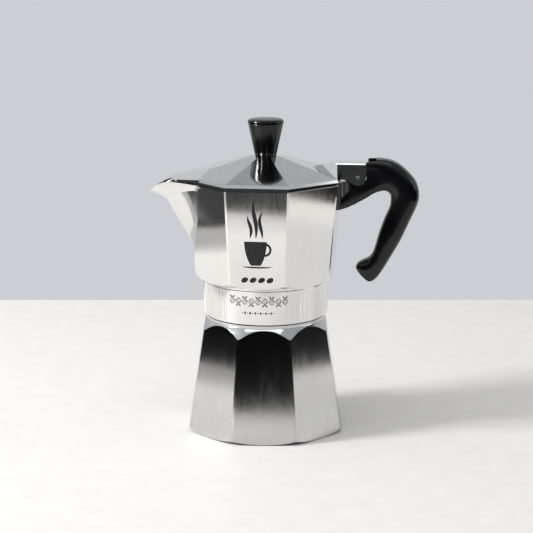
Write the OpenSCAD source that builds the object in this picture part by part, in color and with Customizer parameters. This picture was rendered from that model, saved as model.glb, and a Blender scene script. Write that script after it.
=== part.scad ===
// Stovetop moka pot: octagonal water chamber, funnel, screwed-on upper chamber with spout,
// hinged lid with knob, and a moulded handle.
// Z points up, the base rests on z = 0, the handle points to +X and the spout to -X.

/* [Water chamber] */
// Width across the flats at the base
chamber_base_flats = 106.4; // [104:0.2:108]
// Width across the flats at the shoulder
chamber_top_flats = 84.4; // [83:0.2:86]
// Height at which the shoulder starts, at the corners
shoulder_height = 76; // [74:0.5:77]
// Wall thickness of the water chamber
chamber_wall = 3; // [2.5:0.1:3.5]
// Thickness of the chamber floor
chamber_floor = 4; // [3:0.5:6]
// Angle at which the two chambers stand to each other when screwed tight
seating_angle = 5.5; // [0:0.5:10]

/* [Collar and thread] */
// Outer diameter of the ribbed collar
collar_diameter = 86.2; // [86:0.1:87]
// Number of ribs that would go all the way round the collar
rib_count = 80; // [40:4:100]
// Depth of the grooves between the ribs
rib_depth = 0.5; // [0.3:0.1:0.7]
// Half of the angle that the smooth front panel of the collar covers
panel_half_angle = 35; // [20:1:45]
// Rise of the thread in one turn
thread_pitch = 4; // [4:0.1:4.2]
// Root radius of the outer thread, on the neck
neck_radius = 37; // [36.9:0.1:37]

/* [Upper chamber] */
// Width across the flats just above the collar
upper_base_flats = 91.6; // [90:0.2:93]
// Width across the flats at the rim
upper_top_flats = 102.4; // [101:0.2:103]
// Wall thickness of the upper chamber
upper_wall = 2.2; // [1.8:0.1:2.6]
// Reach of the spout tip from the pot's axis
spout_reach = 81; // [78:0.2:82]

/* [Lid and knob] */
// Width across the flats of the lid
lid_flats = 104.2; // [103.6:0.2:105]
// Slope of the lid's facets, as rise over run
lid_slope = 0.307; // [0.29:0.001:0.32]
// Height of the knob
knob_height = 25.6; // [20:0.2:28]
// Diameter of the knob at its top
knob_top_diameter = 24.8; // [22:0.2:26]
// Number of flutes round the knob
flute_count = 8; // [6:1:10]

/* [Handle] */
// Width of the handle across its grip
handle_width = 18.6; // [18:0.2:20]
// Angle that the lid opens to before its tail rests on the handle
lid_opening = 100; // [90:1:105]

/* [Funnel and filter] */
// Outer diameter of the coffee basket
basket_diameter = 66.8; // [64:0.2:67]
// Outer diameter of the funnel tube
tube_diameter = 14.4; // [12:0.2:16]
// Number of rings of holes in the filter plate
filter_rings = 5; // [3:1:5]
// Radius of one filter hole
filter_hole_radius = 0.75; // [0.5:0.05:0.9]

/* [Hidden] */
$fn = 96;

// Heights, from the table up
neck_base_z = 80.4;
collar_base_z = 81.1;
neck_top_z = 95.5;
basket_rim_z = 96.7;
gasket_base_z = 96.8;
filter_base_z = 99.5;
gasket_top_z = 100.2;
floor_under_z = 100.3;
floor_z = 105;
collar_bead_z = 105.2;
collar_top_z = 107.3;
rim_z = 174;
lid_edge_z = 175.3;
lid_band_z = 178.2;
seat_z = 191.2;

// Octagons
corner = 1 / cos(22.5);
half_side = tan(22.5);
// How much a rounded vertical edge takes off a corner
edge_cut = 0.3;

// Thread
thread_depth = 1.3;
thread_gap = 0.35;
thread_crest = 0.7;
thread_flank = 1.5 / thread_depth;
thread_steps = 48;
thread_turns_cut = 1.85;
outer_thread_z = 85.4;
bore_radius = neck_radius + thread_depth + thread_gap;

// Hinge
pin_x = 63.7;
pin_z = 177.7;
pin_radius = 1.5;
pin_running_gap = 0.05;
tail_half_width = 7;
tail_inner_half = 4.6;
barrel_radius = 4.4;
lobe_radius = 5.4;
tail_top_z = 187.4;
tail_end_x = 69.4;
lug_half_width = 7;
lug_top_z = 175;
tongue_half_width = 4;

// Knob and handle fixings
screw_radius = 1.95;
handle_screw_x = 60;
screw_seat_z = 160.2;
far = 200;

// ---------- helpers ----------

// A solid with eight flat sides, all cut to one profile of half-width against height.
module eight_sided(profile) {
    intersection_for (turn = [0 : 45 : 135])
        rotate([0, 0, turn])
        rotate([90, 0, 0])
        linear_extrude(height = far, center = true)
        polygon(profile);
}

// Both sides of a profile, from the points of its right-hand side.
function mirrored(right) = concat(
    right,
    [for (i = [len(right) - 1 : -1 : 0]) [-right[i][0], right[i][1]]]
);

// Side faces and end caps of a skin over rings that hold the same number of points.
function skin_faces(rings, points) = concat(
    [for (i = [0 : rings - 2]) for (j = [0 : points - 1])
        let (k = (j + 1) % points)
        for (f = [
            [i * points + j, (i + 1) * points + j, (i + 1) * points + k],
            [i * points + j, (i + 1) * points + k, i * points + k]
        ]) f],
    [[for (j = [0 : points - 1]) j]],
    [[for (j = [points - 1 : -1 : 0]) (rings - 1) * points + j]]
);

// The same faces, seen from the other side.
function turned(faces) = [for (f = faces) [for (k = [len(f) - 1 : -1 : 0]) f[k]]];

// One helical ridge of trapezoid section, on a wall of radius root. The ridge points
// outwards if side is 1 and inwards if side is -1, and runs out to nothing at both ends.
module thread_ridge(root, side, base_width, start_angle, start_z, turns) {
    buried = 0.5;
    steps = ceil(turns * thread_steps);
    rings = [for (i = [0 : steps])
        let (
            angle = start_angle + i * 360 / thread_steps,
            z = start_z + thread_pitch * i / thread_steps,
            fade = min(1, i / 6, (steps - i) / 6),
            low = root - side * buried,
            high = root + side * max(0.02, thread_depth * fade),
            half_low = base_width / 2 + thread_flank * buried / 2,
            half_high = half_low - thread_flank * (buried + abs(high - root)) / 2
        )
        [for (p = [[low, -half_low], [high, -half_high], [high, half_high], [low, half_low]])
            [p[0] * cos(angle), p[0] * sin(angle), z + p[1]]]];
    points = [for (ring = rings) for (p = ring) p];
    faces = skin_faces(len(rings), 4);
    polyhedron(points, side > 0 ? turned(faces) : faces);
}

// Holes set out on rings, with six more holes on each ring than on the last.
module hole_rings(count, spacing, radius, z0, z1) {
    for (ring = [1 : count])
        for (k = [0 : ring * 6 - 1])
            rotate([0, 0, k * 60 / ring])
            translate([ring * spacing, 0, z0])
            cylinder(h = z1 - z0, r = radius, $fn = 16);
}

// ---------- water chamber ----------

base_apothem = chamber_base_flats / 2;
chamber_taper = (chamber_base_flats - chamber_top_flats) / 2 / shoulder_height;
function chamber_apothem(z) = base_apothem - chamber_taper * z;

module boiler() {
    shoulder_r = chamber_apothem(77.6);
    inner_low = chamber_apothem(0) - chamber_wall;
    inner_high = chamber_apothem(80) - chamber_wall;
    face_angle = seating_angle + 90;
    color("silver")
    difference() {
        union() {
            intersection() {
                rotate([0, 0, seating_angle])
                    eight_sided(mirrored([[base_apothem, 0], [chamber_apothem(neck_base_z), neck_base_z]]));
                rotate_extrude()
                    polygon([
                        [0, 0], [52.4, 0], [53.4, 0.35], [55.6, 1.6],
                        [chamber_apothem(3) * corner - edge_cut, 3],
                        [chamber_apothem(71.5) * corner - edge_cut, 71.5], [shoulder_r, 77.6],
                        [shoulder_r - 0.5, 78.1], [shoulder_r - 0.8, 78.6],
                        [shoulder_r - 0.8, neck_base_z], [0, neck_base_z]
                    ]);
            }
            translate([0, 0, neck_base_z - 2])
                cylinder(h = neck_top_z - neck_base_z + 2, r = neck_radius);
            thread_ridge(neck_radius, 1, 2.2, 0, outer_thread_z, thread_turns_cut);
            valve_place() translate([-1.5, 0, 0]) cylinder_x(8.6, 2.1);
        }
        intersection() {
            rotate([0, 0, seating_angle])
                eight_sided(mirrored([[inner_low, 0], [inner_high, 80], [inner_high, 100]]));
            rotate_extrude()
                polygon([
                    [0, chamber_floor], [47.5, chamber_floor], [50.5, 5.2], [54, 7.4], [54, 66],
                    [neck_radius - 2.8, 78], [neck_radius - 2.8, 120], [0, 120]
                ]);
        }
        translate([0, 0, 90])
            cylinder(h = 20, r = neck_radius - 2.8);
        valve_place() translate([-12, 0, 0]) cylinder_x(5.05, 20);
    }
}

// ---------- safety valve, built along +X from the chamber's face ----------

valve_height = 56;
valve_hex = 14;
valve_bore = 3.6;
plug_x = -4;
cap_x = 9.2;

module cylinder_x(radius, length) {
    rotate([0, 90, 0])
        cylinder(h = length, r = radius, $fn = 48);
}

// Stands a part on the middle of the face that is opposite the front, square to that face.
module valve_place() {
    rotate([0, 0, seating_angle + 90])
        translate([chamber_apothem(valve_height), 0, valve_height])
        rotate([0, -atan(chamber_taper), 0])
        children();
}

module valve_body() {
    color("goldenrod")
    valve_place()
    difference() {
        union() {
            translate([-8, 0, 0]) cylinder_x(5, 9.7);
            translate([1.6, 0, 0])
                rotate([0, 90, 0])
                cylinder(h = 4.2, r = valve_hex / 2 / cos(30), $fn = 6);
            translate([5.5, 0, 0]) cylinder_x(5.4, 5.6);
        }
        translate([plug_x, 0, 0]) cylinder_x(valve_bore, 20);
        translate([-10, 0, 0]) cylinder_x(1.8, 10);
    }
}

module valve_washer() {
    color("peru")
    valve_place()
    translate([0.65, 0, 0])
    difference() {
        cylinder_x(8, 0.9);
        translate([-1, 0, 0]) cylinder_x(5.1, 3);
    }
}

module valve_stem() {
    color("khaki")
    valve_place()
    rotate([0, 90, 0])
    rotate_extrude($fn = 48)
        polygon([
            [0, plug_x + 0.05], [3, plug_x + 0.05], [3.3, plug_x + 0.4], [3.3, plug_x + 1.6],
            [1.1, plug_x + 1.6], [1.1, 12.8], [0.7, 13.3], [0, 13.4]
        ]);
}

module valve_spring() {
    wire = 0.35;
    coil = 2.4;
    turns = 6;
    sides = 8;
    steps_per_turn = 16;
    low = plug_x + 1.6 + wire;
    high = cap_x - wire;
    steps = turns * steps_per_turn;
    points = [for (i = [0 : steps]) for (j = [0 : sides - 1])
        let (
            angle = i * 360 / steps_per_turn,
            r = coil + wire * cos(j * 360 / sides),
            x = low + (high - low) * i / steps + wire * sin(j * 360 / sides)
        )
        [x, r * sin(angle), r * cos(angle)]];
    faces = skin_faces(steps + 1, sides);
    color("gray")
    valve_place()
    polyhedron(points, faces);
}

module valve_cap() {
    color("goldenrod")
    valve_place()
    translate([cap_x, 0, 0])
    difference() {
        cylinder_x(valve_bore - 0.02, 1.6);
        translate([-1, 0, 0]) cylinder_x(1.45, 4);
    }
}

// ---------- funnel ----------

basket_r = basket_diameter / 2;
tube_r = tube_diameter / 2;
strainer_z = 78;

module funnel_basket() {
    color("gainsboro")
    rotate_extrude()
        polygon([
            [tube_r, 66], [tube_r + 1.4, 66], [tube_r + 1.4, 71.5], [basket_r - 2, 75.3],
            [basket_r, 77.4], [basket_r, neck_top_z + 0.05], [36.2, neck_top_z + 0.05],
            [36.2, basket_rim_z - 0.3], [35.9, basket_rim_z], [basket_r - 0.6, basket_rim_z],
            [basket_r - 1, basket_rim_z - 0.4], [basket_r - 1, strainer_z],
            [basket_r - 2.4, strainer_z], [basket_r - 2.4, 76.4], [tube_r, 72.8]
        ]);
}

module funnel_tube() {
    color("gainsboro")
    rotate_extrude()
        polygon([
            [tube_r - 1, 9], [tube_r + 0.9, 9], [tube_r + 0.9, 9.8], [tube_r, 12.5],
            [tube_r, 72.6], [tube_r - 1, 72.6]
        ]);
}

module funnel_strainer() {
    color("lightgray")
    difference() {
        translate([0, 0, strainer_z])
            cylinder(h = 0.8, r = basket_r - 1.2);
        hole_rings(5, 5.6, 0.9, strainer_z - 1, strainer_z + 2);
        translate([0, 0, strainer_z - 1])
            cylinder(h = 3, r = 0.9, $fn = 16);
    }
}

// ---------- gasket and filter ----------

module gasket() {
    color("ivory")
    rotate_extrude()
        polygon([
            [29.5, gasket_base_z], [36.5, gasket_base_z], [36.5, gasket_top_z],
            [32.2, gasket_top_z], [32.2, filter_base_z - 0.1], [29.5, filter_base_z - 0.1]
        ]);
}

module filter_plate() {
    color("lightgray")
    difference() {
        translate([0, 0, filter_base_z])
            cylinder(h = 0.7, r = 31.8);
        hole_rings(filter_rings, 5, filter_hole_radius, filter_base_z - 1, filter_base_z + 2);
        translate([0, 0, filter_base_z - 1])
            cylinder(h = 3, r = filter_hole_radius, $fn = 16);
    }
}

// ---------- upper chamber ----------

upper_taper = (upper_top_flats - upper_base_flats) / 2 / (rim_z - collar_top_z);
function upper_apothem(z) = upper_base_flats / 2 + upper_taper * (z - collar_top_z);

// Each row of the spout: height of the wall round the pot, height of the keel, reach of the
// keel, half the width where the spout's side leaves the wall, and how fast the side climbs
// from the keel (1 is straight).
spout_rows = [
    [122.3, 122.3, upper_apothem(122.3), upper_apothem(122.3) * half_side, 1],
    [129, 127.7, 50.6, 20.6, 1],
    [137, 134.2, 54.5, 22.8, 1],
    [145, 140.2, 58.3, 25, 1],
    [153, 146.4, 61.7, 27, 1],
    [161, 152.6, 65, 28.8, 1.05],
    [167, 157, 67.5, 30.4, 1.2],
    [170.5, 159.6, 69.4, 31.8, 1.7],
    [172.7, 162.3, 73.6, 32.5, 2.8],
    [rim_z, 165, spout_reach, 33, 5]
];
side_steps = 8;

// Half of a ring from the keel to the wall, moved inwards by the wall thickness.
function spout_side(row, wall) =
    let (
        apothem = upper_apothem(row[0]),
        reach = row[2],
        out = [row[3] - sqrt(2) * apothem, row[3]],
        run = [out[0] + reach, out[1]] / norm([out[0] + reach, out[1]]),
        keel = [-reach + wall / run[1], 0],
        side_normal = [-run[1], run[0]],
        wall_normal = [-sqrt(0.5), sqrt(0.5)],
        end = out - wall * (side_normal + wall_normal) / (1 + side_normal * wall_normal)
    )
    [for (i = [0 : side_steps])
        let (t = i / side_steps)
        [
            keel[0] + (end[0] - keel[0]) * t,
            end[1] * t,
            row[1] + (row[0] - row[1]) * (1 - pow(1 - t, row[4]))
        ]];

// A whole ring round the pot: spout side, six plain corners and the other spout side.
function chamber_ring(row, wall) =
    let (
        side = spout_side(row, wall),
        r = (upper_apothem(row[0]) - wall) * corner
    )
    concat(
        [for (i = [0 : side_steps]) side[i]],
        [for (a = [112.5 : -45 : -112.5]) [r * cos(a), r * sin(a), row[0]]],
        [for (i = [side_steps : -1 : 1]) [side[i][0], -side[i][1], side[i][2]]]
    );

function plain_row(z) = [z, z, upper_apothem(z), upper_apothem(z) * half_side, 1];

// The top cap spans the spout in strips, since the spout's rim is not flat. The bottom cap
// fans out from a corner on the handle's side.
function chamber_faces(rings) =
    let (
        count = 2 * side_steps + 7,
        top = (rings - 1) * count,
        fan = side_steps + 3,
        sides = skin_faces(rings, count)
    )
    concat(
        [for (i = [0 : len(sides) - 3]) sides[i]],
        [for (j = [0 : count - 1]) let (k = (j + 1) % count) if (j != fan && k != fan) [fan, j, k]],
        [[top + 1, top, top + count - 1]],
        [for (i = [1 : side_steps - 1]) [top + i + 1, top + i, top + count - i, top + count - i - 1]],
        [[for (i = [count - side_steps : -1 : side_steps]) top + i]]
    );

module chamber_solid(rows, wall, lift) {
    rings = concat(
        [for (row = rows) chamber_ring(row, wall)],
        lift > 0 ? [[for (p = chamber_ring(rows[len(rows) - 1], wall)) p + [0, 0, lift]]] : []
    );
    polyhedron([for (ring = rings) for (p = ring) p], turned(chamber_faces(len(rings))));
}

// Outline of the ribbed collar, seen from above. The front is left smooth.
module collar_outline() {
    r = collar_diameter / 2;
    pitch = 360 / rib_count;
    polygon([for (k = [0 : rib_count - 1])
        let (a = k * pitch - 90, smooth = min(k, rib_count - k) * pitch < panel_half_angle)
        for (p = [[0.12, 0], [0.36, 0], [0.5, rib_depth], [0.86, rib_depth]])
            let (radius = r - (smooth ? 0 : p[1]), angle = a + p[0] * pitch)
            [radius * cos(angle), radius * sin(angle)]]);
}

module collar() {
    r = collar_diameter / 2;
    translate([0, 0, collar_base_z + 2])
        linear_extrude(height = collar_bead_z - collar_base_z - 2.6)
        collar_outline();
    rotate_extrude()
        polygon([
            [bore_radius - 0.1, collar_base_z], [r - 1.5, collar_base_z],
            [r - 0.8, collar_base_z + 0.6], [r - 0.8, collar_bead_z], [r - 0.1, collar_bead_z],
            [r, collar_bead_z + 0.3], [r, collar_top_z], [bore_radius - 0.1, collar_top_z]
        ]);
}

// Cast lug that carries the hinge and the handle, as a profile in X and Z.
module side_profile(points, half_width) {
    rotate([90, 0, 0])
        linear_extrude(height = 2 * half_width, center = true)
        polygon(points);
}

module cylinder_y(x, z, radius, half_width) {
    translate([x, 0, z])
        rotate([90, 0, 0])
        cylinder(h = 2 * half_width, r = radius, center = true);
}

module lug() {
    difference() {
        side_profile([
            [45, 155.2], [51.4, 155.2], [52.6, 163.4], [57.4, 167.8], [58.3, 170],
            [58.3, 172.2], [57, lug_top_z], [52.6, lug_top_z], [52.6, rim_z], [45, rim_z]
        ], lug_half_width);
        for (x = [53.3, 56.1])
            for (side = [-1, 1])
                translate([x, side * lug_half_width, 0])
                cylinder(h = far, r = 0.7, $fn = 24);
    }
    side_profile([
        [50, 167], [58, 167], [pin_x + 3.6, 175.2], [pin_x, pin_z + 3], [pin_x - 3.6, pin_z + 2.5],
        [55.3, 178.4], [55.3, lug_top_z], [52.6, lug_top_z], [52.6, rim_z], [50, rim_z]
    ], tongue_half_width);
    cylinder_y(pin_x, pin_z, barrel_radius, tail_inner_half - 0.35);
    side_profile([[50, 162.5], [66, 162.5], [66, 169.4], [50, 169.4]], tongue_half_width);
}

module collector() {
    outer_rows = concat([plain_row(collar_top_z - 1.5)], spout_rows);
    inner_rows = concat([plain_row(floor_z - 1)], spout_rows);
    color("silver")
    difference() {
        union() {
            intersection() {
                chamber_solid(outer_rows, 0, 0);
                rotate_extrude()
                    polygon(concat(
                        [[0, 100], [42.9, 100], [42.9, 106.7]],
                        [for (a = [-90 : 10 : 0]) [43.6 + 6.9 * cos(a), 113.6 + 6.9 * sin(a)]],
                        [[90, 113.7], [90, 180], [0, 180]]
                    ));
                // Rounds the vertical edges, all but the spout's
                union() {
                    translate([-130, -100, 90])
                        cube([100, 200, 100]);
                    translate([0, 0, collar_top_z - 20])
                        cylinder(
                            h = 100, r1 = upper_apothem(collar_top_z - 20) * corner - edge_cut,
                            r2 = upper_apothem(collar_top_z + 80) * corner - edge_cut
                        );
                }
            }
            difference() {
                collar();
                translate([0, 0, collar_base_z - 1])
                    cylinder(h = 96 - collar_base_z + 1, r = bore_radius);
            }
            translate([0, 0, 95])
                cylinder(h = collar_top_z - 95, r = bore_radius + 1);
            thread_ridge(bore_radius, -1, 2.5, 180, outer_thread_z, thread_turns_cut);
            lug();
        }
        intersection() {
            chamber_solid(inner_rows, upper_wall, 14);
            rotate_extrude()
                polygon([
                    [0, floor_z], [39.6, floor_z], [41.2, floor_z + 1.5], [44.5, floor_z + 2.8],
                    [90, floor_z + 2.8], [90, 200], [0, 200]
                ]);
        }
        translate([0, 0, 90])
            cylinder(h = 5.9, r = bore_radius);
        translate([0, 0, 95])
            cylinder(h = floor_under_z - 95, r = 36.9);
        rotate_extrude()
            polygon([
                [0, 98], [29, 98], [29, 101], [24, 102.3], [7, 102.3], [7, 110], [0, 110]
            ]);
        cylinder_y(pin_x, pin_z, pin_radius, 20);
        translate([handle_screw_x, 0, 155])
            cylinder(h = 13, r = screw_radius + 0.05, $fn = 48);
    }
}

module column() {
    color("silver")
    difference() {
        rotate_extrude()
            polygon([
                [0, 102.4], [7, 102.4], [7, floor_z], [10, floor_z], [10, floor_z + 1.4],
                [8.6, floor_z + 2.2], [8.1, floor_z + 4.5], [6.7, 149], [7.3, 150.5], [7.3, 154],
                [6.4, 156.3], [4, 157.6], [0, 158]
            ]);
        translate([0, 0, 100])
            cylinder(h = 53, r = 4.2);
        for (side = [-1, 1])
            translate([-2.4, side < 0 ? -12 : 0, 145.5])
            cube([4.8, 12, 5.5]);
    }
}

// ---------- lid ----------

lid_half = lid_flats / 2;
lid_apex = lid_band_z + lid_slope * lid_half;
lid_skin = 1.9;
rim_bevel = 1;
tail_pocket_x = 54.7;
ledge_out = 50.4;
ledge_in = 48.2;
// Corners of the beak over the spout
beak_root = [-41.6, 32.1];
beak_side = [-59, 18];
beak_tip = -67.3;
beak_end_z = 176;
step_radius = 65;
step_apex = -35;

module beak() {
    bottom = rim_z + 0.6;
    top = [
        [-28, 0, lid_band_z + 5.8], [beak_root[0], -beak_root[1], lid_band_z],
        [beak_side[0], -beak_side[1], beak_end_z], [beak_tip, 0, beak_end_z],
        [beak_side[0], beak_side[1], beak_end_z], [beak_root[0], beak_root[1], lid_band_z],
        [-57.6, 0, lid_band_z - 0.7]
    ];
    low = [for (i = [0 : 5]) [top[i][0], top[i][1], i > 1 && i < 5 ? bottom : lid_edge_z]];
    polyhedron(
        concat(top, low),
        [
            [1, 6, 0], [6, 5, 0], [2, 6, 1], [6, 4, 5], [3, 6, 2], [4, 6, 3],
            [7, 8, 1, 0], [8, 9, 2, 1], [9, 10, 3, 2], [10, 11, 4, 3], [11, 12, 5, 4], [12, 7, 0, 5],
            [12, 8, 7], [12, 9, 8], [12, 11, 9], [11, 10, 9]
        ]
    );
}

module tail_profile() {
    union() {
        polygon([
            [48.6, 180], [48.6, tail_top_z], [tail_end_x - 1.5, tail_top_z],
            [tail_end_x - 0.4, tail_top_z - 0.5], [tail_end_x, tail_top_z - 1.6], [tail_end_x, pin_z],
            [pin_x + 5.2, pin_z - 1.4], [pin_x, pin_z], [pin_x - 4.6, pin_z - 2.8],
            [tail_pocket_x, 176.1], [50, 176.1]
        ]);
        translate([pin_x, pin_z]) circle(r = lobe_radius);
    }
}

// Plain tail, with its upper side edges bevelled.
module tail() {
    bevel = 0.6;
    intersection() {
        rotate([90, 0, 0])
            linear_extrude(height = 2 * tail_half_width, center = true)
            tail_profile();
        rotate([90, 0, 90])
            linear_extrude(height = 80)
            polygon(mirrored([
                [tail_half_width + 1, 160], [tail_half_width + 1, tail_top_z - bevel - 1],
                [tail_half_width - bevel, tail_top_z], [tail_half_width - bevel, tail_top_z + 1]
            ]));
    }
}

// Pointed ramp that joins the tail to the roof and spreads to the roof's two corners.
module prow() {
    top_z = tail_top_z - 0.05;
    nose_x = 33;
    tip = [38.5, 0, 185.7];
    corner_x = lid_half - rim_bevel - 0.1;
    corner_y = (corner_x - 0.3) * half_side;
    corner_z = lid_apex - corner_x * lid_slope - 0.1;
    low_z = lid_band_z - 1;
    polyhedron(
        [
            [nose_x, 0, lid_apex - nose_x * lid_slope - 0.1], tip,
            [49.6, -6.3, top_z], [corner_x, -corner_y, corner_z],
            [49.6, 6.3, top_z], [corner_x, corner_y, corner_z],
            [nose_x, 0, low_z], [corner_x, -corner_y, low_z], [corner_x, corner_y, low_z]
        ],
        [
            [1, 4, 2], [0, 1, 3], [1, 2, 3], [0, 5, 1], [1, 5, 4],
            [2, 4, 5, 3], [3, 5, 8, 7], [0, 3, 7, 6], [0, 6, 8, 5], [6, 7, 8]
        ]
    );
}

module lid_hollow() {
    eight_sided(mirrored([
        [ledge_in, 160], [ledge_in, lid_apex - lid_skin - ledge_in * lid_slope],
        [(lid_apex - lid_skin - seat_z + 2) / lid_slope, seat_z - 2]
    ]));
}

// Everything that lies under one of the beak's two roof planes, less the skin.
module under_beak(side) {
    fall_x = 0.2277;
    fall_y = 0.0823;
    translate([beak_root[0], side * beak_root[1], lid_band_z - lid_skin - 0.1])
        rotate([-side * atan(fall_y / norm([1, fall_x])), -atan(fall_x), 0])
        translate([-60, -100, -30])
        cube([200, 200, 30]);
}

module lid() {
    color("silver")
    difference() {
        union() {
            difference() {
                eight_sided(mirrored([
                    [ledge_out, rim_z + 0.1], [ledge_out, lid_edge_z], [lid_half, lid_edge_z],
                    [lid_half, lid_edge_z + 1.4], [lid_half - rim_bevel, lid_band_z + rim_bevel * lid_slope],
                    [(lid_apex - seat_z) / lid_slope, seat_z]
                ]));
                translate([step_apex - step_radius, 0, 170])
                    cylinder(h = 30, r = step_radius);
            }
            beak();
            prow();
            tail();
        }
        difference() {
            lid_hollow();
            translate([step_apex - step_radius, 0, 150])
                cylinder(h = 50, r = step_radius + lid_skin);
        }
        intersection() {
            lid_hollow();
            under_beak(1);
            under_beak(-1);
        }
        side_profile([
            [tail_pocket_x, 160], [tail_end_x + 5, 160], [tail_end_x + 5, tail_top_z - 1.7],
            [tail_pocket_x, tail_top_z - 1.7]
        ], tail_inner_half);
        // Step in each side of the tail, over the lug
        for (side = [-1, 1])
            translate([lid_half, side > 0 ? tail_half_width - 1.2 : -tail_half_width - 3.8, 175])
            cube([tail_pocket_x - lid_half, 5, 4.6]);
        cylinder_y(pin_x, pin_z, pin_radius + pin_running_gap, 20);
        translate([0, 0, 180])
            cylinder(h = 20, r = screw_radius + 0.15, $fn = 48);
    }
}

// ---------- knob ----------

module knob() {
    top_r = knob_top_diameter / 2;
    foot_r = 7.4;
    top_z = seat_z + knob_height;
    color("#1c1c1e")
    difference() {
        rotate_extrude()
            polygon([
                [0, seat_z], [foot_r - 0.5, seat_z], [foot_r, seat_z + 0.5],
                [top_r - 0.3, top_z - 3.6], [top_r - 0.5, top_z - 3.2], [top_r, top_z - 2.9],
                [top_r, top_z - 2], [top_r - 0.5, top_z - 1.2], [top_r - 1.6, top_z - 0.7],
                [top_r - 5, top_z - 0.2], [0, top_z]
            ]);
        for (k = [0 : flute_count - 1])
            rotate([0, 0, (k + 0.5) * 360 / flute_count])
            translate([foot_r + 1.13, 0, seat_z - 4])
            rotate([0, 14.6, 0])
            cylinder(h = 40, r = 3.1, $fn = 48);
        translate([0, 0, seat_z - 1])
            cylinder(h = 11, r = 3.2, $fn = 48);
    }
}

module knob_insert() {
    color("goldenrod")
    difference() {
        rotate_extrude($fn = 48)
            polygon([
                [0, seat_z + 0.1], [3.2, seat_z + 0.1], [3.2, seat_z + 3.6], [2.8, seat_z + 4],
                [2.8, seat_z + 5.6], [3.2, seat_z + 6], [3.2, seat_z + 9.8], [0, seat_z + 9.8]
            ]);
        translate([0, 0, seat_z - 1])
            cylinder(h = 9.6, r = screw_radius, $fn = 48);
    }
}

// Pan-head screw along +Z with a cross recess, its head below z = 0.
module pan_screw(length, head_r, head_h) {
    difference() {
        union() {
            cylinder(h = length, r = screw_radius, $fn = 48);
            rotate_extrude($fn = 48)
                polygon([
                    [0, 0], [head_r, 0], [head_r, -head_h * 0.4], [head_r * 0.7, -head_h], [0, -head_h]
                ]);
        }
        for (turn = [0, 90])
            rotate([0, 0, turn])
            translate([-head_r * 0.6, -0.4, -head_h - 1])
            cube([head_r * 1.2, 0.8, 2]);
    }
}

module knob_screw() {
    color("gray")
    translate([0, 0, seat_z - 2])
    pan_screw(10, 3.6, 2.2);
}

module hinge_pin() {
    color("gray")
    translate([pin_x, 0, pin_z])
    rotate([90, 0, 0])
    rotate_extrude($fn = 48)
        polygon([[0, -7.1], [1.1, -7.1], [pin_radius, -6.7], [pin_radius, 6.7], [1.1, 7.1], [0, 7.1]]);
}

// ---------- handle ----------

// Stations along the handle, from the lug to the tip of the grip: X and Z of the outer edge,
// X and Z of the inner edge, half of the width, and how boxy the section is (1 is an ellipse).
handle_w = handle_width / 2;
handle_stations = [
    [49, 162.5, 48, 153.5, handle_w - 0.8, 0.6],
    [53, 164.6, 51.8, 154.8, handle_w - 0.6, 0.5],
    [58, 172, 57.5, 156.9, handle_w - 0.3, 0.42],
    [61.5, 182, 63.6, 160.2, handle_w, 0.35],
    [67, 188.6, 69.4, 163.4, handle_w, 0.32],
    [74, 190.2, 75.1, 167, handle_w, 0.36],
    [82.5, 190.1, 80.5, 168.6, handle_w, 0.5],
    [90.5, 187.4, 83.4, 168.1, handle_w, 0.65],
    [98.3, 181, 84.9, 166.8, handle_w, 0.75],
    [103.4, 174.5, 85.7, 165.3, handle_w, 0.78],
    [105.4, 166.5, 85.9, 162.8, handle_w, 0.78],
    [104.4, 159.4, 85.3, 157.6, handle_w, 0.78],
    [99.5, 148, 82.2, 150.4, handle_w, 0.78],
    [93.6, 134.9, 78.7, 140.7, handle_w, 0.78],
    [88.2, 125, 76.1, 131.3, handle_w - 0.4, 0.78],
    [84, 117.6, 74.2, 125.6, handle_w - 0.8, 0.78],
    [80.2, 111.4, 71.6, 122, handle_w - 1.2, 0.75],
    [76.6, 106.8, 69, 120.6, handle_w - 1.6, 0.7],
    [72.4, 104.6, 66.7, 119.4, handle_w - 2, 0.65],
    [68.5, 107, 64.6, 118.2, handle_w - 2.6, 0.65],
    [65.6, 110, 63.2, 116.6, handle_w - 3.6, 0.7],
    [63.8, 112.6, 62.6, 114.8, handle_w - 5.6, 0.8]
];
station_steps = 3;
section_points = 28;

// Catmull-Rom curve through four values.
function blend4(a, b, c, d, t) =
    0.5 * (2 * b + (c - a) * t + (2 * a - 5 * b + 4 * c - d) * t * t + (3 * b - a - 3 * c + d) * t * t * t);

function handle_station(i, t) =
    let (last = len(handle_stations) - 1, s = handle_stations)
    blend4(s[max(0, i - 1)], s[i], s[i + 1], s[min(last, i + 2)], t);

function boxy(c, power) = sign(c) * pow(abs(c), power);

// Rounded oblong section between a station's outer and inner edges.
function handle_ring(s) = [for (j = [0 : section_points - 1])
    let (
        a = j * 360 / section_points,
        u = boxy(cos(a), s[5]) / 2,
        v = s[4] * boxy(sin(a), s[5])
    )
    [(s[0] + s[2]) / 2 + u * (s[0] - s[2]), v, (s[1] + s[3]) / 2 + u * (s[1] - s[3])]];

module handle_body() {
    last = len(handle_stations) - 1;
    rings = concat(
        [for (i = [0 : last - 1]) for (k = [0 : station_steps - 1])
            handle_ring(handle_station(i, k / station_steps))],
        [handle_ring(handle_stations[last])]
    );
    polyhedron(
        [for (ring = rings) for (p = ring) p],
        turned(skin_faces(len(rings), section_points))
    );
}

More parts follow.
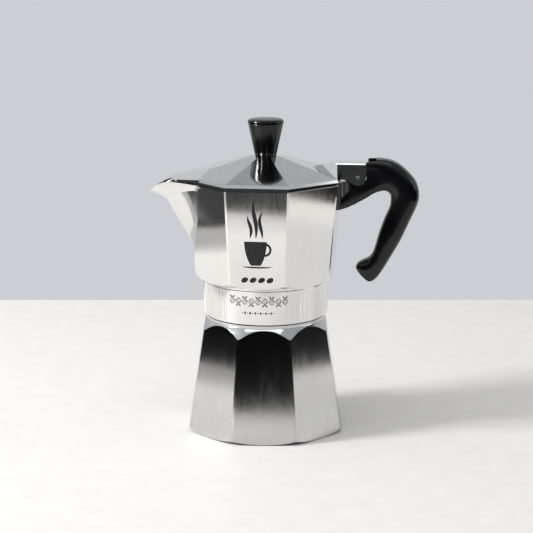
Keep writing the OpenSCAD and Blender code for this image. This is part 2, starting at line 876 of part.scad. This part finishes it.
module handle() {
    side_gap = 0.5;
    sweep_radius = 11.9;
    hollow_radius = 51;
    hollow_depth = 0.8;
    // Back wall of the pocket, where the lid's tail comes to rest
    stop = tail_top_z - pin_z + 0.4;
    color("#1c1c1e")
    difference() {
        handle_body();
        // Face against the lug and the upper chamber, and room for the lid's tail at rest
        rotate([90, 0, 0])
            linear_extrude(height = 40, center = true)
            union() {
                polygon([
                    [30, 140], [51.9, 140], [51.5, 155], [52.7, 163.4], [57.5, 167.7], [58.4, 170],
                    [58.4, pin_z], [tail_end_x + side_gap, pin_z], [tail_end_x + side_gap, 200], [30, 200]
                ]);
                translate([pin_x, pin_z]) circle(r = lobe_radius + side_gap);
            }
        // Pocket that the tail swings into
        rotate([90, 0, 0])
            linear_extrude(height = 2 * tail_half_width + 1, center = true)
            translate([pin_x, pin_z])
            union() {
                circle(r = sweep_radius);
                rotate(-lid_opening) translate([-40, -10]) square([46, 10 + stop]);
            }
        // Socket for the lug's tongue
        side_profile([[45, 162.4], [66.2, 162.4], [66.2, 169.6], [45, 169.6]], tongue_half_width + 0.1);
        // Hole for the fixing screw, with room for its head
        translate([handle_screw_x, 0, 0])
            rotate_extrude($fn = 48)
            polygon([
                [0, 150], [3.6, 150], [3.6, screw_seat_z], [screw_radius + 0.2, screw_seat_z],
                [screw_radius + 0.2, 165], [0, 165]
            ]);
        // Shallow round hollow in each side
        for (side = [-1, 1])
            translate([71.5, side * (handle_w + hollow_radius - hollow_depth), 179.5])
            sphere(r = hollow_radius, $fn = 96);
    }
}

module handle_screw() {
    color("gray")
    translate([handle_screw_x, 0, screw_seat_z])
    pan_screw(7.4, 3.2, 2);
}

// ---------- output ----------

boiler();
valve_body();
valve_washer();
valve_stem();
valve_spring();
valve_cap();
funnel_basket();
funnel_tube();
funnel_strainer();
gasket();
filter_plate();
collector();
column();
lid();
knob();
knob_insert();
knob_screw();
hinge_pin();
handle();
handle_screw();
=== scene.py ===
"""Looks of the moka pot: materials, printed emblem, collar ornament, floor, light and camera."""

import math

import bmesh
import bpy
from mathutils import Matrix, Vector


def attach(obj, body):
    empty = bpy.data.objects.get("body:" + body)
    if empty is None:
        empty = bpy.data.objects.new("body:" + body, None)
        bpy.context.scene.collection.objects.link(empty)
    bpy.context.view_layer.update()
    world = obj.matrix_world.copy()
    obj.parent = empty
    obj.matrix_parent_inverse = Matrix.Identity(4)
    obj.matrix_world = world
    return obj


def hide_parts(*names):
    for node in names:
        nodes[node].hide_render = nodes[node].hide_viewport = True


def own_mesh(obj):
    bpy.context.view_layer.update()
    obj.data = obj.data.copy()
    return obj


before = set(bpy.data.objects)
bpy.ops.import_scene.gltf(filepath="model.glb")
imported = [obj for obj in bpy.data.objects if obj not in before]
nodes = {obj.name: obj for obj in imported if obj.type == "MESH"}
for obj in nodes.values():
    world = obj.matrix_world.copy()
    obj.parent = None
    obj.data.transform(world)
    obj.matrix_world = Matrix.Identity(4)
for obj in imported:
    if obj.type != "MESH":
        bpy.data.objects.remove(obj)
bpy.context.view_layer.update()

# ---------------------------------------------------------------- camera
CAMERA_PLACE = Vector((0.1448, -1.1791, 0.3746))
CAMERA_TARGET = Vector((0.0005, 0.0, 0.1130))
camera_data = bpy.data.cameras.new("camera")
camera_data.lens = 118.2
camera_data.sensor_width = 36.0
camera = bpy.data.objects.new("camera", camera_data)
bpy.context.scene.collection.objects.link(camera)
camera.location = CAMERA_PLACE
camera.rotation_euler = (CAMERA_TARGET - CAMERA_PLACE).to_track_quat("-Z", "Y").to_euler()
bpy.context.scene.camera = camera

# ---------------------------------------------------------------- node helpers


class Tree:
    """Short calls for building a material's nodes."""

    def __init__(self, name):
        self.material = bpy.data.materials.new(name)
        self.material.use_nodes = True
        self.tree = self.material.node_tree
        self.shader = self.tree.nodes["Principled BSDF"]
        self.where = self.add("ShaderNodeTexCoord").outputs["Object"]

    def add(self, kind, **settings):
        made = self.tree.nodes.new(kind)
        for key, value in settings.items():
            setattr(made, key, value)
        return made

    def link(self, source, target):
        self.tree.links.new(source, target)

    def put(self, socket, value):
        if isinstance(value, bpy.types.NodeSocket):
            self.link(value, socket)
        else:
            socket.default_value = value

    def stretched(self, scale):
        mapping = self.add("ShaderNodeMapping")
        self.link(self.where, mapping.inputs["Vector"])
        mapping.inputs["Scale"].default_value = scale
        return mapping.outputs["Vector"]

    def noise(self, scale, size=1.0, detail=3.0, roughness=0.55):
        made = self.add("ShaderNodeTexNoise")
        self.link(self.stretched(scale), made.inputs["Vector"])
        made.inputs["Scale"].default_value = size
        made.inputs["Detail"].default_value = detail
        made.inputs["Roughness"].default_value = roughness
        return made.outputs["Fac"]

    def remap(self, value, low, high, to_low, to_high):
        made = self.add("ShaderNodeMapRange")
        self.link(value, made.inputs["Value"])
        for key, number in zip(("From Min", "From Max", "To Min", "To Max"), (low, high, to_low, to_high)):
            made.inputs[key].default_value = number
        return made.outputs["Result"]

    def math(self, operation, a, b=0.0):
        made = self.add("ShaderNodeMath", operation=operation)
        self.put(made.inputs[0], a)
        self.put(made.inputs[1], b)
        return made.outputs[0]

    def mix(self, factor, a, b):
        made = self.add("ShaderNodeMix", data_type="RGBA")
        self.put(made.inputs["Factor"], factor)
        for name, value in (("A", a), ("B", b)):
            socket = [s for s in made.inputs if s.name == name and s.type == "RGBA"][0]
            self.put(socket, value)
        return [s for s in made.outputs if s.type == "RGBA"][0]

    def bump(self, height, strength, distance, after=None):
        made = self.add("ShaderNodeBump")
        made.inputs["Strength"].default_value = strength
        made.inputs["Distance"].default_value = distance
        self.link(height, made.inputs["Height"])
        if after is not None:
            self.link(after, made.inputs["Normal"])
        return made.outputs["Normal"]

    def set(self, **values):
        for key, value in values.items():
            self.put(self.shader.inputs[key.replace("_", " ")], value)


def aluminium(name, grain, tint=(0.87, 0.87, 0.88), dark=(0.78, 0.78, 0.79), low=0.13, high=0.27,
              grain_bump=0.10, pits=0.10):
    """Polished cast aluminium. Grain is the noise scale along X, Y and Z: a low one makes streaks."""
    t = Tree(name)
    fine = t.noise(grain, detail=2.0, roughness=0.6)
    coarse = t.noise([g * 0.18 for g in grain], detail=3.0)
    smudge = t.noise((24, 24, 18), detail=4.0, roughness=0.6)
    speck = t.noise((2600, 2600, 2600), detail=1.0)
    streaks = t.math("MULTIPLY_ADD", fine, 0.6)
    t.link(t.math("MULTIPLY", coarse, 0.4), streaks.node.inputs[2])
    rough = t.math(
        "ADD",
        t.remap(streaks, 0.30, 0.70, low, high),
        t.remap(smudge, 0.45, 0.75, 0.0, 0.03),
    )
    colour = t.mix(t.remap(streaks, 0.32, 0.68, 0.0, 1.0), (*dark, 1), (*tint, 1))
    colour = t.mix(t.remap(smudge, 0.50, 0.80, 0.0, 0.22), colour, (*[c * 0.86 for c in tint], 1))
    normal = t.bump(streaks, grain_bump, 0.0003)
    normal = t.bump(t.remap(speck, 0.62, 0.78, 1.0, 0.0), pits, 0.0001, after=normal)
    t.set(Base_Color=colour, Metallic=1.0, Roughness=rough, Normal=normal)
    return t.material


def steel(name, base=(0.56, 0.56, 0.57)):
    """Turned steel with a fine grain and small scratches."""
    t = Tree(name)
    grain = t.noise((1500, 200, 1500), detail=2.0)
    colour = t.mix(t.remap(grain, 0.3, 0.7, 0.0, 1.0), (*[c * 0.8 for c in base], 1), (*base, 1))
    t.set(Base_Color=colour, Metallic=1.0, Roughness=t.remap(grain, 0.3, 0.7, 0.22, 0.38),
          Normal=t.bump(grain, 0.15, 0.0002))
    return t.material


def brass(name):
    """Machined brass, a little tarnished in patches."""
    t = Tree(name)
    grain = t.noise((900, 900, 900), detail=2.0)
    patch = t.noise((160, 160, 160), detail=4.0)
    colour = t.mix(t.remap(patch, 0.42, 0.68, 0.0, 0.7), (0.78, 0.58, 0.26, 1), (0.48, 0.32, 0.14, 1))
    t.set(Base_Color=colour, Metallic=1.0, Roughness=t.remap(patch, 0.35, 0.7, 0.20, 0.42),
          Normal=t.bump(grain, 0.12, 0.0002))
    return t.material


def black_plastic(name):
    """Glossy moulded plastic with slight waviness, fine scuffs and dust-dull patches."""
    t = Tree(name)
    wave = t.noise((90, 90, 70), detail=2.0)
    scuff = t.noise((1400, 1400, 380), detail=3.0, roughness=0.7)
    dull = t.noise((60, 60, 45), detail=5.0, roughness=0.65)
    rough = t.math(
        "ADD",
        t.remap(dull, 0.42, 0.72, 0.14, 0.23),
        t.remap(scuff, 0.60, 0.80, 0.0, 0.16),
    )
    scuffed = t.remap(scuff, 0.58, 0.82, 0.0, 0.5)
    colour = t.mix(scuffed, (0.0055, 0.0055, 0.0065, 1), (0.017, 0.017, 0.018, 1))
    normal = t.bump(wave, 0.10, 0.0012)
    normal = t.bump(scuff, 0.05, 0.0001, after=normal)
    t.set(Base_Color=colour, Metallic=0.0, Roughness=rough, Normal=normal, Specular_IOR_Level=0.38)
    return t.material


def rubber(name, base, other):
    """Moulded seal: matt, with a faint skin texture and slight staining."""
    t = Tree(name)
    skin = t.noise((1800, 1800, 1800), detail=2.0)
    stain = t.noise((70, 70, 70), detail=4.0)
    colour = t.mix(t.remap(stain, 0.40, 0.72, 0.0, 1.0), (*base, 1), (*other, 1))
    t.set(Base_Color=colour, Roughness=t.remap(skin, 0.3, 0.7, 0.55, 0.75),
          Normal=t.bump(skin, 0.2, 0.0002))
    return t.material


def ink(name, base, thin):
    """Printed ink: nearly black, a little uneven, with a satin surface."""
    t = Tree(name)
    patch = t.noise((2200, 2200, 2200), detail=2.0)
    wear = t.noise((420, 420, 420), detail=4.0, roughness=0.7)
    colour = t.mix(t.remap(wear, 0.55, 0.80, 0.0, 1.0), (*base, 1), (*thin, 1))
    t.set(Base_Color=colour, Roughness=t.remap(patch, 0.3, 0.7, 0.35, 0.50),
          Normal=t.bump(patch, 0.08, 0.0001))
    return t.material


VERTICAL = (1500, 1500, 14)
LID_GRAIN = (1300, 420, 420)
EVEN_GRAIN = (700, 700, 700)
boiler_metal = aluminium("aluminium_boiler", VERTICAL, tint=(0.66, 0.66, 0.67), dark=(0.58, 0.58, 0.59),
                         low=0.07, high=0.115, grain_bump=0.012, pits=0.03)
upper_metal = aluminium("aluminium_upper", VERTICAL, tint=(0.84, 0.83, 0.82), dark=(0.76, 0.755, 0.75),
                        low=0.045, high=0.085, grain_bump=0.010, pits=0.02)
lid_metal = aluminium("aluminium_lid", LID_GRAIN, low=0.05, high=0.09, grain_bump=0.012, pits=0.02)
sheet_metal = aluminium("aluminium_sheet", EVEN_GRAIN, tint=(0.72, 0.72, 0.73), dark=(0.60, 0.60, 0.61),
                        low=0.28, high=0.44)
steel_metal = steel("steel")
brass_metal = brass("brass")
plastic = black_plastic("black_plastic")
seal = rubber("seal_rubber", (0.72, 0.69, 0.60), (0.60, 0.55, 0.45))
fibre = rubber("seal_fibre", (0.30, 0.10, 0.06), (0.20, 0.07, 0.04))

FINISH = {
    "boiler": boiler_metal,
    "collector": upper_metal,
    "column": upper_metal,
    "lid": lid_metal,
    "funnel_basket": sheet_metal,
    "funnel_tube": sheet_metal,
    "funnel_strainer": sheet_metal,
    "filter_plate": sheet_metal,
    "gasket": seal,
    "valve_washer": fibre,
    "valve_body": brass_metal,
    "valve_stem": brass_metal,
    "valve_cap": brass_metal,
    "knob_insert": brass_metal,
    "valve_spring": steel_metal,
    "hinge_pin": steel_metal,
    "knob_screw": steel_metal,
    "handle_screw": steel_metal,
    "knob": plastic,
    "handle": plastic,
}


# ---------------------------------------------------------------- smooth shading of the CAD nodes
MERGE_DISTANCE = 0.000004


def smoothing_group(name, angle):
    """Joins the facets of a node and shades it smooth, but for edges sharper than the angle."""
    group = bpy.data.node_groups.new(name, "GeometryNodeTree")
    group.interface.new_socket("Geometry", in_out="INPUT", socket_type="NodeSocketGeometry")
    group.interface.new_socket("Geometry", in_out="OUTPUT", socket_type="NodeSocketGeometry")
    start = group.nodes.new("NodeGroupInput")
    end = group.nodes.new("NodeGroupOutput")
    merge = group.nodes.new("GeometryNodeMergeByDistance")
    merge.inputs["Distance"].default_value = MERGE_DISTANCE
    faces = group.nodes.new("GeometryNodeSetShadeSmooth")
    faces.domain = "FACE"
    edges = group.nodes.new("GeometryNodeSetShadeSmooth")
    edges.domain = "EDGE"
    edge_angle = group.nodes.new("GeometryNodeInputMeshEdgeAngle")
    sharp = group.nodes.new("FunctionNodeCompare")
    sharp.data_type = "FLOAT"
    sharp.operation = "GREATER_THAN"
    sharp.inputs["B"].default_value = math.radians(angle)
    link = group.links.new
    link(start.outputs[0], merge.inputs["Geometry"])
    link(merge.outputs["Geometry"], faces.inputs["Geometry"])
    link(faces.outputs["Geometry"], edges.inputs["Geometry"])
    link(edge_angle.outputs["Unsigned Angle"], sharp.inputs["A"])
    link(sharp.outputs["Result"], edges.inputs["Selection"])
    edges.inputs["Shade Smooth"].default_value = False
    faces.inputs["Shade Smooth"].default_value = True
    link(edges.outputs["Geometry"], end.inputs[0])
    return group


# Sharpest angle, in degrees, that is still shaded smooth
SMOOTH_ANGLE = 30
SMOOTH = {"handle": 32, "knob": 32, "collector": 9, "lid": 9, "boiler": 18}
groups = {}
for name, obj in nodes.items():
    obj.data.materials.clear()
    obj.data.materials.append(FINISH[name])
    angle = SMOOTH.get(name, SMOOTH_ANGLE)
    if angle not in groups:
        groups[angle] = smoothing_group(f"smooth_{angle}", angle)
    modifier = obj.modifiers.new("smooth", "NODES")
    modifier.node_group = groups[angle]

# ---------------------------------------------------------------- valve spring
# The stem moves outwards against the spring, so the real spring shortens towards its outer end; here the
# spring is an unchanged copy of its node, attached to the boiler in place of the node
spring = bpy.data.objects.new("squeezed_spring", nodes["valve_spring"].data.copy())
bpy.context.scene.collection.objects.link(spring)
spring.modifiers.new("smooth", "NODES").node_group = groups[SMOOTH_ANGLE]
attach(spring, "boiler")
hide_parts("valve_spring")
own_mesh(spring)

# ---------------------------------------------------------------- printed emblem on the front face
UPPER_BASE_HALF = 0.0458
UPPER_TOP_HALF = 0.0512
UPPER_BASE_Z = 0.1073
UPPER_TOP_Z = 0.1740
PRINT_LIFT = 0.00008


def on_front(u, z):
    """A point on the front face of the upper chamber, u across and z up, in metres."""
    t = (z - UPPER_BASE_Z) / (UPPER_TOP_Z - UPPER_BASE_Z)
    return Vector((u, -(UPPER_BASE_HALF + (UPPER_TOP_HALF - UPPER_BASE_HALF) * t) - PRINT_LIFT, z))


COLLAR_RADIUS = 0.0431


def on_collar(u, z):
    """A point on the smooth panel of the collar, u along its arc from the front."""
    a = u / COLLAR_RADIUS
    r = COLLAR_RADIUS + PRINT_LIFT
    return Vector((r * math.sin(a), -r * math.cos(a), z))


def arc(cx, cz, rx, rz, a0, a1, steps=28):
    return [
        (cx + rx * math.cos(math.radians(a0 + (a1 - a0) * i / steps)),
         cz + rz * math.sin(math.radians(a0 + (a1 - a0) * i / steps)))
        for i in range(steps + 1)
    ]


class Print:
    """Flat printed shapes, gathered in one mesh and laid on a surface."""

    def __init__(self, place):
        self.place = place
        self.bm = bmesh.new()

    def strip(self, points, widths):
        """A stroke along the points. Widths is one number, or one for each point."""
        if not hasattr(widths, "__len__"):
            widths = [widths] * len(points)
        pairs = []
        for i, (p, w) in enumerate(zip(points, widths)):
            a = points[max(0, i - 1)]
            b = points[min(len(points) - 1, i + 1)]
            d = Vector((b[0] - a[0], b[1] - a[1]))
            d.normalize()
            pairs.append([
                self.bm.verts.new(self.place(p[0] - d.y * w / 2, p[1] + d.x * w / 2)),
                self.bm.verts.new(self.place(p[0] + d.y * w / 2, p[1] - d.x * w / 2)),
            ])
        for (a, b), (c, d) in zip(pairs, pairs[1:]):
            self.bm.faces.new((a, b, d, c))

    def between(self, left, right):
        """Fills between two lines that have the same number of points."""
        rows = [[self.bm.verts.new(self.place(*p)), self.bm.verts.new(self.place(*q))]
                for p, q in zip(left, right)]
        for (a, b), (c, d) in zip(rows, rows[1:]):
            self.bm.faces.new((a, b, d, c))

    def oval(self, cx, cz, rx, rz, turn=0.0, steps=24):
        c, s = math.cos(math.radians(turn)), math.sin(math.radians(turn))
        points = []
        for i in range(steps):
            a = 2 * math.pi * i / steps
            x, z = rx * math.cos(a), rz * math.sin(a)
            points.append(self.bm.verts.new(self.place(cx + x * c - z * s, cz + x * s + z * c)))
        self.bm.faces.new(points)

    def done(self, name, material, body):
        mesh = bpy.data.meshes.new(name)
        self.bm.normal_update()
        self.bm.to_mesh(mesh)
        self.bm.free()
        mesh.materials.append(material)
        made = bpy.data.objects.new(name, mesh)
        bpy.context.scene.collection.objects.link(made)
        # All faces look away from the pot's axis
        centre = sum((v.co for v in mesh.vertices), Vector()) / len(mesh.vertices)
        normal = sum((p.normal * p.area for p in mesh.polygons), Vector())
        if normal.dot(Vector((centre.x, centre.y, 0))) < 0:
            mesh.flip_normals()
        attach(made, body)


MM = 0.001


def scaled(points, cx=0.0, cz=0.0):
    """Points in millimetres, moved to a centre in metres."""
    return [(cx + x * MM, cz + z * MM) for x, z in points]


# Steaming cup on a saucer, with a row of beans under it. Sizes are in millimetres.
emblem = Print(on_front)
CUP_Z = 0.1222
CUP_HEIGHT = 16.5
STEAM_Z = 20.5
CUP_FOOT_Z = CUP_Z + 1.6 * MM
CUP_SHIFT = -MM
STEAM_SHIFT = -0.4 * MM
STEAM_STEPS = 48
# Start across, height, phase and width of each wisp
WISPS = ((-4.2, 15.5, 0.0, 1.9), (-0.6, 27.0, 0.7, 2.4), (3.4, 18.5, 1.5, 2.0))
BEAN_Z = 0.1136
BEAN_COUNT = 4
BEAN_PITCH = 5.7
BEAN_TURN = 28
BEAN_STEPS = 14


def bowl(width, height, steps=18):
    """Left and right outlines of a round cup, from the foot up."""
    left, right = [], []
    for i in range(steps + 1):
        t = i / steps
        half = width * (0.40 + 0.60 * math.sin(t * math.pi / 2) ** 0.7)
        left.append((-half, height * t))
        right.append((half, height * t))
    return left, right


def turned_by(points, degrees):
    c, s = math.cos(math.radians(degrees)), math.sin(math.radians(degrees))
    return [(x * c - z * s, x * s + z * c) for x, z in points]


left, right = bowl(7.6, CUP_HEIGHT)
emblem.between(scaled(left, CUP_SHIFT, CUP_FOOT_Z), scaled(right, CUP_SHIFT, CUP_FOOT_Z))
emblem.strip(scaled(arc(6.4, 11.0, 3.6, 3.9, -105, 105), CUP_SHIFT, CUP_FOOT_Z), 1.5 * MM)
dish = [(9.8 * math.cos(a * math.pi / 24), 0.8 - 1.1 * math.sin(a * math.pi / 24)) for a in range(13)]
emblem.between(scaled([(-x, z) for x, z in dish], 0, CUP_Z), scaled(dish, 0, CUP_Z))
for start, height, phase, width in WISPS:
    line, widths = [], []
    for i in range(STEAM_STEPS + 1):
        t = i / STEAM_STEPS
        line.append((start + 1.5 * math.sin(t * 5.4 + phase) * (0.35 + 0.65 * t), STEAM_Z + height * t))
        widths.append((0.3 + width * math.sin(math.pi * min(1.0, t * 1.05)) ** 0.8) * MM)
    emblem.strip(scaled(line, STEAM_SHIFT, CUP_Z), widths)
for k in range(BEAN_COUNT):
    bean_x = (k - (BEAN_COUNT - 1) / 2) * BEAN_PITCH * MM
    for side in (-1, 1):
        rim = arc(0, 0, 2.5, 1.7, 90, 90 + 180 * side, BEAN_STEPS)
        seam = [
            (side * 0.2 + 0.4 * math.sin(math.pi * (2 * i / BEAN_STEPS - 1)), 1.7 - 3.4 * i / BEAN_STEPS)
            for i in range(BEAN_STEPS + 1)
        ]
        emblem.between(
            scaled(turned_by(rim, BEAN_TURN), bean_x, BEAN_Z),
            scaled(turned_by(seam, BEAN_TURN), bean_x, BEAN_Z),
        )
black_ink = ink("print_black", (0.012, 0.012, 0.013), (0.05, 0.05, 0.05))
emblem.done("front_emblem", black_ink, "collector")

# Running vine on the collar's smooth panel, and a row of dots and dashes under it
vine = Print(on_collar)
VINE_Z = 0.0979
VINE_HALF = 0.0208
VINE_TURNS = 9
VINE_STEPS = 240
VINE_WIDTH = 0.0004
WAVE = 0.0014
SCROLL_STEPS = 28
DASH_Z = 0.0899
DASH_COUNT = 13
DASH_PITCH = 0.00178


def vine_point(t):
    return -VINE_HALF + 2 * VINE_HALF * t, VINE_Z + WAVE * math.sin(t * math.pi * VINE_TURNS)


vine.strip([vine_point(i / VINE_STEPS) for i in range(VINE_STEPS + 1)], VINE_WIDTH)
for k in range(VINE_TURNS):
    u, z = vine_point((k + 0.5) / VINE_TURNS)
    up = 1 if k % 2 == 0 else -1
    scroll = []
    for i in range(SCROLL_STEPS + 1):
        radius = 1.75 * (1 - 0.72 * i / SCROLL_STEPS)
        turn = math.radians(200 - 19 * i)
        across = 0.25 + radius * math.cos(turn)
        down = 1.95 + radius * math.sin(turn)
        scroll.append((u + across * MM, z - up * down * MM))
    vine.strip(scroll, [(0.42 - 0.18 * i / SCROLL_STEPS) * MM for i in range(SCROLL_STEPS + 1)])
    vine.oval(u - 0.0009, z + up * 0.0013, 0.0012, 0.00045, turn=128 * up)
    vine.oval(u + 0.0009, z + up * 0.0013, 0.0012, 0.00045, turn=52 * up)
for k in range(DASH_COUNT):
    half_width, half_height = (0.00062, 0.0009) if k % 2 else (0.0004, 0.0004)
    vine.oval((k - DASH_COUNT // 2) * DASH_PITCH, DASH_Z, half_width, half_height, steps=12)
grey_ink = ink("print_grey", (0.03, 0.03, 0.032), (0.10, 0.10, 0.10))
vine.done("collar_vine", grey_ink, "collector")


# ---------------------------------------------------------------- floor
def floor_material():
    t = Tree("floor_paint")
    grain = t.noise((60, 60, 60), detail=3.0)
    fine = t.noise((900, 900, 900), detail=2.0)
    colour = t.mix(t.remap(grain, 0.35, 0.7, 0.0, 1.0), (0.825, 0.808, 0.785, 1), (0.855, 0.84, 0.82, 1))
    t.set(Base_Color=colour, Roughness=t.remap(grain, 0.3, 0.7, 0.42, 0.52),
          Normal=t.bump(fine, 0.05, 0.0002), Specular_IOR_Level=0.2)
    return t.material


FLOOR_TURN = math.radians(7.0)
FLOOR_LEFT, FLOOR_RIGHT, FLOOR_FRONT, FLOOR_BACK = -0.455, 0.50, -0.43, 0.372
LIP_HEIGHT = 0.018
LIP_ANGLE = math.radians(70)
LIP_STEPS = 10
FLOOR_DROP = 0.0002


def floor_sheet():
    """A pale sheet that curves up at the front and at both sides, and ends flat at the back."""
    radius = LIP_HEIGHT / (1 - math.cos(LIP_ANGLE))
    whole_run = radius * math.sin(LIP_ANGLE)
    points, faces = [], [(0, 1, 2, 3)]
    for i in range(LIP_STEPS + 1):
        a = LIP_ANGLE * i / LIP_STEPS
        inset = whole_run - radius * math.sin(a)
        left, right, front = FLOOR_LEFT + inset, FLOOR_RIGHT - inset, FLOOR_FRONT + inset
        z = radius * (1 - math.cos(a)) - FLOOR_DROP
        for x, y in ((left, front), (right, front), (right, FLOOR_BACK), (left, FLOOR_BACK)):
            points.append((
                x * math.cos(FLOOR_TURN) - y * math.sin(FLOOR_TURN),
                x * math.sin(FLOOR_TURN) + y * math.cos(FLOOR_TURN), z,
            ))
        if i:
            for low, high in ((0, 1), (1, 2), (3, 0)):
                a0, b0 = 4 * (i - 1) + low, 4 * (i - 1) + high
                faces.append((a0, a0 + 4, b0 + 4, b0))
    mesh = bpy.data.meshes.new("floor")
    mesh.from_pydata(points, [], faces)
    mesh.materials.append(floor_material())
    made = bpy.data.objects.new("floor", mesh)
    bpy.context.scene.collection.objects.link(made)


floor_sheet()


# ---------------------------------------------------------------- light
bpy.context.scene.view_settings.view_transform = "Standard"


def area(name, place, target, size_x, size_y, power, colour):
    data = bpy.data.lights.new(name, "AREA")
    data.shape = "RECTANGLE"
    data.size = size_x
    data.size_y = size_y
    data.energy = power
    data.color = colour
    made = bpy.data.objects.new(name, data)
    bpy.context.scene.collection.objects.link(made)
    made.location = place
    made.rotation_euler = (Vector(target) - Vector(place)).to_track_quat("-Z", "Y").to_euler()


area("key", (-1.40, -0.60, 1.05), (0, 0, 0.08), 0.40, 0.40, 27, (1.0, 0.99, 0.97))
area("top", (0.0, -0.5, 1.9), (0, 0, 0.1), 1.8, 1.0, 8, (1.0, 1.0, 1.0))
area("right", (1.7, 0.2, 0.75), (0, 0, 0.10), 0.9, 0.9, 3.0, (0.97, 0.98, 1.0))

world = bpy.data.worlds.new("room")
bpy.context.scene.world = world
world.use_nodes = True
wt = world.node_tree
wt.nodes.clear()
coord = wt.nodes.new("ShaderNodeTexCoord")
split = wt.nodes.new("ShaderNodeSeparateXYZ")
wt.links.new(coord.outputs["Generated"], split.inputs[0])


def world_range(value, a, b, c, d):
    made = wt.nodes.new("ShaderNodeMapRange")
    made.interpolation_type = "SMOOTHSTEP"
    wt.links.new(value, made.inputs["Value"])
    for key, number in zip(("From Min", "From Max", "To Min", "To Max"), (a, b, c, d)):
        made.inputs[key].default_value = number
    return made.outputs["Result"]


def world_math(operation, a, b):
    made = wt.nodes.new("ShaderNodeMath")
    made.operation = operation
    for socket, value in zip(made.inputs, (a, b)):
        if isinstance(value, bpy.types.NodeSocket):
            wt.links.new(value, socket)
        else:
            socket.default_value = value
    return made.outputs[0]


# Pale wall behind, falling off with height; a dark room in front and to the left, paler
# towards the ceiling; a grey wall to the right; a window high on the left
wall = world_range(split.outputs["Z"], 0.20, 0.95, 0.62, 0.26)
room = world_math("ADD", world_range(split.outputs["Z"], 0.25, 0.65, 0.003, 0.50),
                  world_range(split.outputs["Z"], -0.25, -0.05, 0.06, 0.0))
side = world_range(split.outputs["Z"], 0.15, 0.60, 0.012, 0.40)
behind = world_range(split.outputs["Y"], 0.22, 0.55, 0.0, 1.0)
rightward = world_range(split.outputs["X"], 0.55, 0.95, 0.0, 1.0)


def blend(factor, a, b):
    return world_math("ADD", world_math("MULTIPLY", world_math("SUBTRACT", 1.0, factor), a),
                      world_math("MULTIPLY", factor, b))


window = world_math("MULTIPLY", world_range(split.outputs["X"], -0.30, -0.70, 0.0, 0.4),
                    world_range(split.outputs["Z"], 0.20, 0.50, 0.0, 1.0))
level = world_math("ADD", window, blend(behind, blend(rightward, room, side), wall))
light_paths = wt.nodes.new("ShaderNodeLightPath")
seen = wt.nodes.new("ShaderNodeBackground")
seen.inputs["Color"].default_value = (0.610, 0.617, 0.651, 1)
seen.inputs["Strength"].default_value = 1.0  # what the camera sees: an even pale wall
felt = wt.nodes.new("ShaderNodeBackground")
felt.inputs["Color"].default_value = (0.97, 0.985, 1.0, 1)
wt.links.new(level, felt.inputs["Strength"])
pick = wt.nodes.new("ShaderNodeMixShader")
wt.links.new(light_paths.outputs["Is Camera Ray"], pick.inputs[0])
wt.links.new(felt.outputs[0], pick.inputs[1])
wt.links.new(seen.outputs[0], pick.inputs[2])
out = wt.nodes.new("ShaderNodeOutputWorld")
wt.links.new(pick.outputs[0], out.inputs["Surface"])
